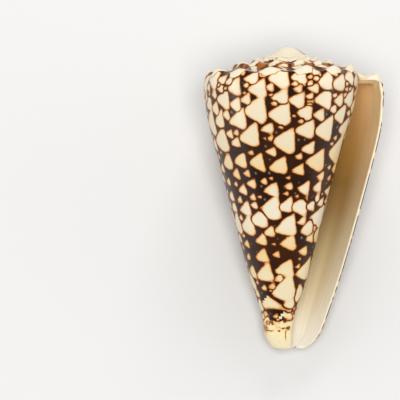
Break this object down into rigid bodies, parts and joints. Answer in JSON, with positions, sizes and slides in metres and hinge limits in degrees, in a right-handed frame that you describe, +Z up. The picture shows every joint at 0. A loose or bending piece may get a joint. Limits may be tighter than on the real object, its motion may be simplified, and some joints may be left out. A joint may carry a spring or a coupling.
{
  "type": "cone shell",
  "caption": "Marbled cone seashell lying on its back: tapered coiled body, low knobbed spire and a long narrow slit beside a thin outer lip.",
  "frame": {"origin": "bottom centre of the bounding box, on the surface that the shell lies on", "axes": "+Z up; +Y towards the spire end, the apex 14 degrees above level; +X towards the outer lip; the slit faces up"},
  "size_m": [0.0476, 0.078, 0.0422],
  "materials": {
    "shell": "natural polished gloss; cream tent marks on brown-black, with a tan inside"
  },
  "bodies": {
    "root": {"shell": "shell"}
  },
  "joints": []
}
